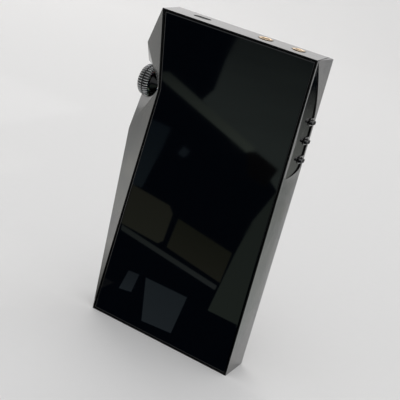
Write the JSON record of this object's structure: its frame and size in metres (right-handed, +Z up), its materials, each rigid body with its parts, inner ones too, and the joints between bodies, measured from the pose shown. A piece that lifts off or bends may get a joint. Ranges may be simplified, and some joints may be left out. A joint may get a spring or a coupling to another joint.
{
  "type": "digital audio player",
  "caption": "Pocket digital audio player: faceted dark metal body, full-face cover glass, side volume wheel in a notch, press keys, and headphone, charging and card sockets.",
  "frame": {"origin": "centre of the base: the bounding box's bottom centre, player standing upright on its socket end", "axes": "+Z up along the player's length, front glass facing -Y, volume wheel on -X, transport keys on +X"},
  "size_m": [0.082, 0.0176, 0.1413],
  "materials": {
    "dark_steel": "polished dark steel with a thin dark coating",
    "front_glass": "polished black-backed cover glass, screen off",
    "rear_glass": "polished black ceramic-like plate",
    "display_black": "dark display panel, off",
    "diffuser": "milky light-spreading plastic",
    "gilt": "gilt, bright",
    "black_plastic": "moulded black",
    "tinned_steel": "tinned sheet, satin",
    "circuit_board": "dark green solder mask",
    "battery_wrap": "black film wrap",
    "adhesive": "black foam adhesive",
    "frame_alloy": "bead-blasted light alloy"
  },
  "bodies": {
    "case": {"amplifier_shield": "tinned_steel", "balanced_jack_body": "black_plastic", "balanced_jack_collar": "gilt", "battery": "battery_wrap", "battery_connector": "black_plastic", "board_screw_1": "tinned_steel", "board_screw_2": "tinned_steel", "board_screw_3": "tinned_steel", "board_screw_4": "tinned_steel", "body_shell": "dark_steel", "button_board": "circuit_board", "card_socket": "tinned_steel", "converter_shield": "tinned_steel", "display_backlight": "diffuser", "display_flex": "circuit_board", "display_panel": "display_black", "front_glass": "front_glass", "glass_adhesive": "adhesive", "headphone_jack_body": "black_plastic", "headphone_jack_collar": "gilt", "main_board": "circuit_board", "midframe": "frame_alloy", "next_switch": "black_plastic", "play_switch": "black_plastic", "power_board": "circuit_board", "power_switch": "black_plastic", "previous_switch": "black_plastic", "processor_shield": "tinned_steel", "rear_adhesive": "adhesive", "rear_cover": "rear_glass", "usb_shell": "tinned_steel", "usb_tongue": "black_plastic", "wheel_bushing": "gilt", "wheel_encoder": "black_plastic", "wheel_light_ring": "diffuser", "wireless_antenna": "circuit_board"},
    "wheel": {"volume_wheel": "dark_steel", "wheel_shaft": "tinned_steel"},
    "previous_key": {"previous_button": "dark_steel"},
    "play_key": {"play_button": "dark_steel"},
    "next_key": {"next_button": "dark_steel"},
    "power_key": {"power_button": "dark_steel"}
  },
  "joints": [
    {"name": "volume_turn", "type": "hinge", "parent": "case", "child": "wheel", "pos_m": [-0.03245, -0.0005, 0.1083], "axis": [-1, 0, 0], "continuous": true},
    {"name": "previous_press", "type": "slide", "parent": "case", "child": "previous_key", "axis": [-1, 0, 0], "range_m": [0, 0.0003], "stiffness_N_per_m": 4000, "springref_m": -0.0001},
    {"name": "play_press", "type": "slide", "parent": "case", "child": "play_key", "axis": [-1, 0, 0], "range_m": [0, 0.0003], "stiffness_N_per_m": 4000, "springref_m": -0.0001},
    {"name": "next_press", "type": "slide", "parent": "case", "child": "next_key", "axis": [-1, 0, 0], "range_m": [0, 0.0003], "stiffness_N_per_m": 4000, "springref_m": -0.0001},
    {"name": "power_press", "type": "slide", "parent": "case", "child": "power_key", "axis": [0, 0, -1], "range_m": [0, 0.0003], "stiffness_N_per_m": 4000, "springref_m": -0.0001}
  ]
}
